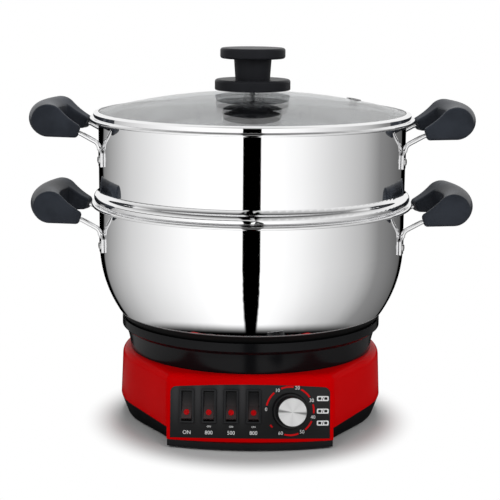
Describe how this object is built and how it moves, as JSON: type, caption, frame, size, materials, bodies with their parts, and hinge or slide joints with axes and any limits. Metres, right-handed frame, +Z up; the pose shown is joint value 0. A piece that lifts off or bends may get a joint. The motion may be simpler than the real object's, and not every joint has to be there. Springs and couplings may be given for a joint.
{
  "type": "electric hot pot",
  "caption": "Round electric hot pot: base with timer and rocker switches, lift-out steel pot, stacked steamer tier, domed glass lid with knob.",
  "frame": {"origin": "on the ground under the pot's axis and the middle of the whole outline", "axes": "+X to the user's right along the grips, -Y towards the user and the console, +Z up"},
  "size_m": [0.435, 0.3182, 0.3622],
  "materials": {
    "red_plastic": "high gloss",
    "black_gloss": "gloss",
    "black_matte": "matte",
    "panel_charcoal": "satin",
    "bakelite": "satin",
    "lens_red": "gloss",
    "rubber": "matte",
    "silicone": "matte",
    "polished_steel": "mirror polished stainless steel",
    "plain_steel": "satin",
    "tube_steel": "oxidised",
    "cast_plate": "cast, turned face",
    "dial_aluminium": "radially brushed",
    "brass": "satin",
    "ivory_plastic": "matte",
    "brown_plastic": "matte",
    "clear_glass": "clear tempered"
  },
  "bodies": {
    "base": {"base_housing": "red_plastic", "base_tray": "black_matte", "rubber_feet": "rubber", "tray_screws": "plain_steel", "collar_ring": "black_gloss", "heating_tubes": "tube_steel", "heater_plate": "cast_plate", "heater_posts": "plain_steel", "heat_shield": "plain_steel", "sensor_holder": "plain_steel", "sensor_spring": "plain_steel", "thermal_cutouts": "brown_plastic", "terminal_block": "ivory_plastic", "power_inlet": "black_matte", "inlet_pins": "brass", "inlet_screws": "plain_steel", "control_panel": "panel_charcoal", "timer_body": "ivory_plastic", "timer_screws": "plain_steel", "switch_frame_1": "black_gloss", "switch_frame_2": "black_gloss", "switch_frame_3": "black_gloss", "switch_frame_4": "black_gloss"},
    "pot": {"pot_shell": "polished_steel", "pot_base_disc": "polished_steel", "pot_bracket_left": "polished_steel", "pot_bracket_right": "polished_steel", "pot_rivets": "polished_steel", "pot_grip_left": "bakelite", "pot_grip_right": "bakelite", "pot_grip_pins": "plain_steel"},
    "steamer": {"steamer_tier": "polished_steel", "steamer_bracket_left": "polished_steel", "steamer_bracket_right": "polished_steel", "steamer_rivets": "polished_steel", "steamer_grip_left": "bakelite", "steamer_grip_right": "bakelite", "steamer_grip_pins": "plain_steel"},
    "steam_plate": {"steam_plate": "polished_steel"},
    "lid": {"lid_glass": "clear_glass", "lid_band": "polished_steel", "lid_vent": "polished_steel", "knob_gasket": "silicone", "knob_flange": "black_matte", "lid_knob": "black_matte", "knob_washer": "plain_steel", "knob_screw": "plain_steel"},
    "timer_dial": {"timer_knob": "black_matte", "dial_cap": "dial_aluminium", "timer_shaft": "plain_steel"},
    "sensor": {"sensor_plunger": "cast_plate"},
    "switch_1": {"rocker_1": "black_gloss", "lens_1": "lens_red"},
    "switch_2": {"rocker_2": "black_gloss", "lens_2": "lens_red"},
    "switch_3": {"rocker_3": "black_gloss", "lens_3": "lens_red"},
    "switch_4": {"rocker_4": "black_gloss", "lens_4": "lens_red"}
  },
  "joints": [
    {"name": "pot_lift", "type": "slide", "parent": "base", "child": "pot", "axis": [0, 0, 1], "range_m": [0, 0.08]},
    {"name": "steamer_lift", "type": "slide", "parent": "pot", "child": "steamer", "axis": [0, 0, 1], "range_m": [0, 0.06]},
    {"name": "steam_plate_lift", "type": "slide", "parent": "steamer", "child": "steam_plate", "axis": [0, 0, 1], "range_m": [0, 0.06]},
    {"name": "lid_lift", "type": "slide", "parent": "steamer", "child": "lid", "axis": [0, 0, 1], "range_m": [0, 0.08]},
    {"name": "timer_turn", "type": "hinge", "parent": "base", "child": "timer_dial", "pos_m": [0.03693, -0.13326, 0.03585], "axis": [-0.1056, 0.9689, -0.2237], "range_deg": [-42, 290]},
    {"name": "sensor_press", "type": "slide", "parent": "base", "child": "sensor", "axis": [0, 0, 1], "range_m": [-0.003, 0], "stiffness_N_per_m": 300, "springref_m": 0.002, "deforming": ["sensor_spring"]},
    {"name": "rocker_1_tilt", "type": "hinge", "parent": "base", "child": "switch_1", "pos_m": [-0.05795, -0.1256, 0.03818], "axis": [0.9858, -0.1633, 0.0377], "range_deg": [0, 20]},
    {"name": "rocker_2_tilt", "type": "hinge", "parent": "base", "child": "switch_2", "pos_m": [-0.03769, -0.12836, 0.03882], "axis": [0.994, -0.1062, 0.0245], "range_deg": [0, 20]},
    {"name": "rocker_3_tilt", "type": "hinge", "parent": "base", "child": "switch_3", "pos_m": [-0.01729, -0.12994, 0.03919], "axis": [0.9987, -0.0487, 0.0113], "range_deg": [0, 20]},
    {"name": "rocker_4_tilt", "type": "hinge", "parent": "base", "child": "switch_4", "pos_m": [0.00316, -0.13035, 0.03928], "axis": [1, 0.0089, -0.0021], "range_deg": [0, 20]}
  ]
}
